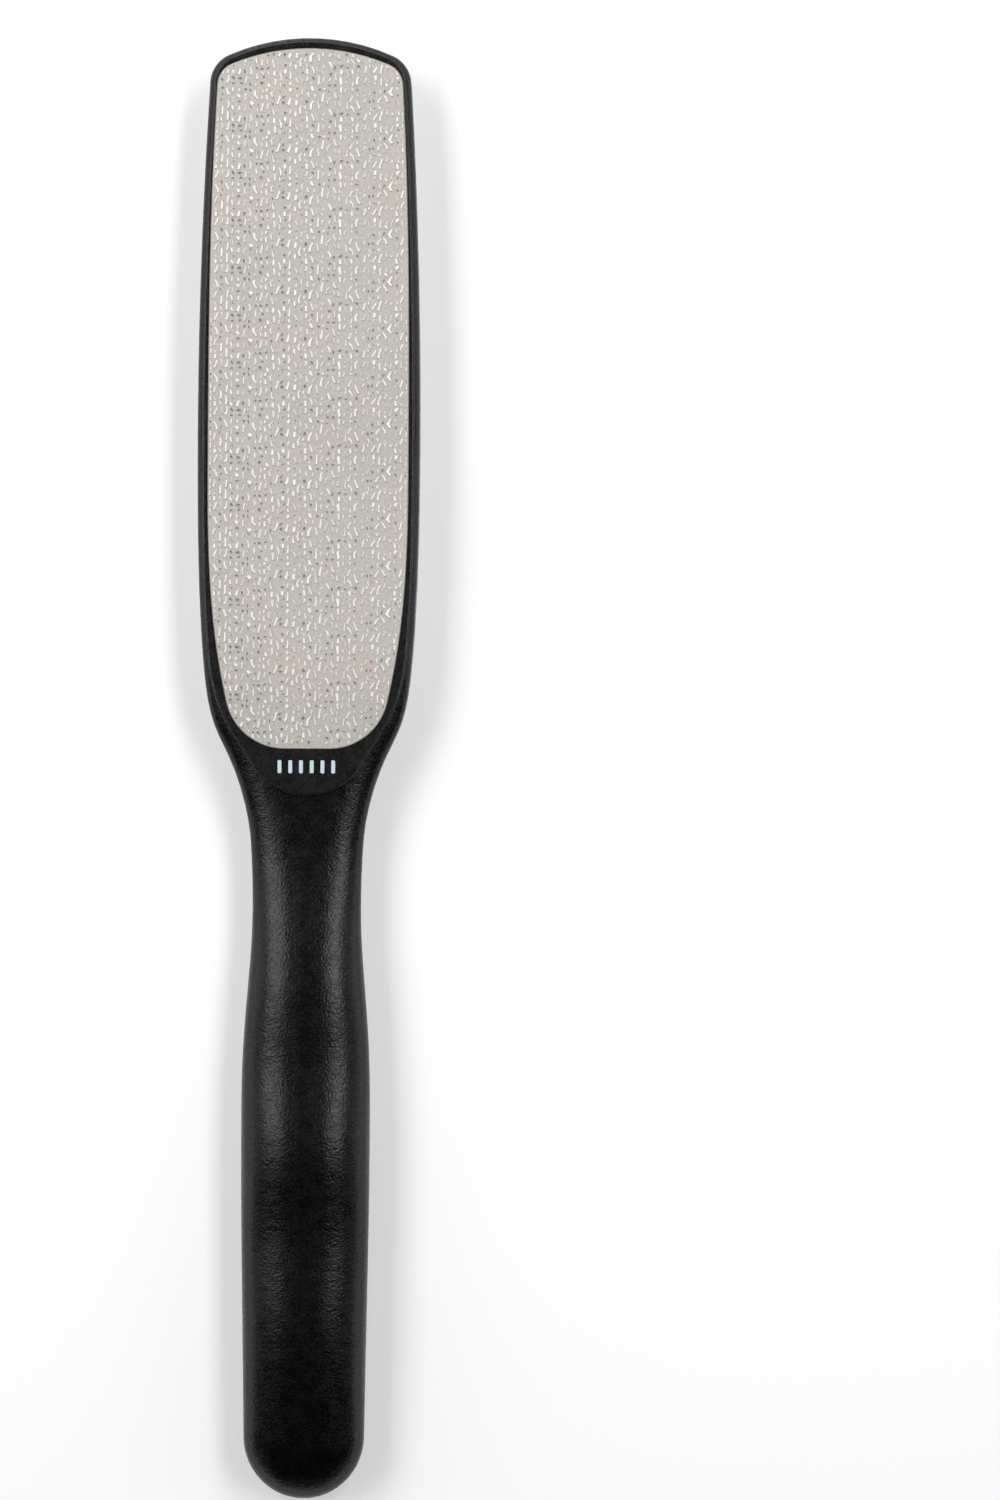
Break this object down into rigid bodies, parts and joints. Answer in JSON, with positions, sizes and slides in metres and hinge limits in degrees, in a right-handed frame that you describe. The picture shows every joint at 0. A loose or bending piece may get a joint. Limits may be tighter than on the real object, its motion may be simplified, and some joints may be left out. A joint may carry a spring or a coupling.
{
  "type": "foot file",
  "caption": "Flat paddle with an etched metal rasp plate on each face, coarse and fine, on a slim black moulded handle with a waist, a palm swell and a rounded end.",
  "frame": {"origin": "under the middle of the length and width, on the plane that the file lies on", "axes": "+Y along the file from the handle to the paddle's tip, +Z out of the coarse face, +X to the right when the coarse face is seen with the tip up"},
  "size_m": [0.0396, 0.26, 0.0138],
  "materials": {
    "core": "black stiff moulded plastic, satin",
    "grip": "black, fine spark-eroded matte grain",
    "plate": "etched stainless steel with raised teeth, pale warm grey",
    "adhesive": "thin clear bonding film"
  },
  "bodies": {
    "root": {"core": "core", "grip": "grip", "coarse_plate": "plate", "fine_plate": "plate", "coarse_adhesive": "adhesive", "fine_adhesive": "adhesive"}
  },
  "joints": []
}
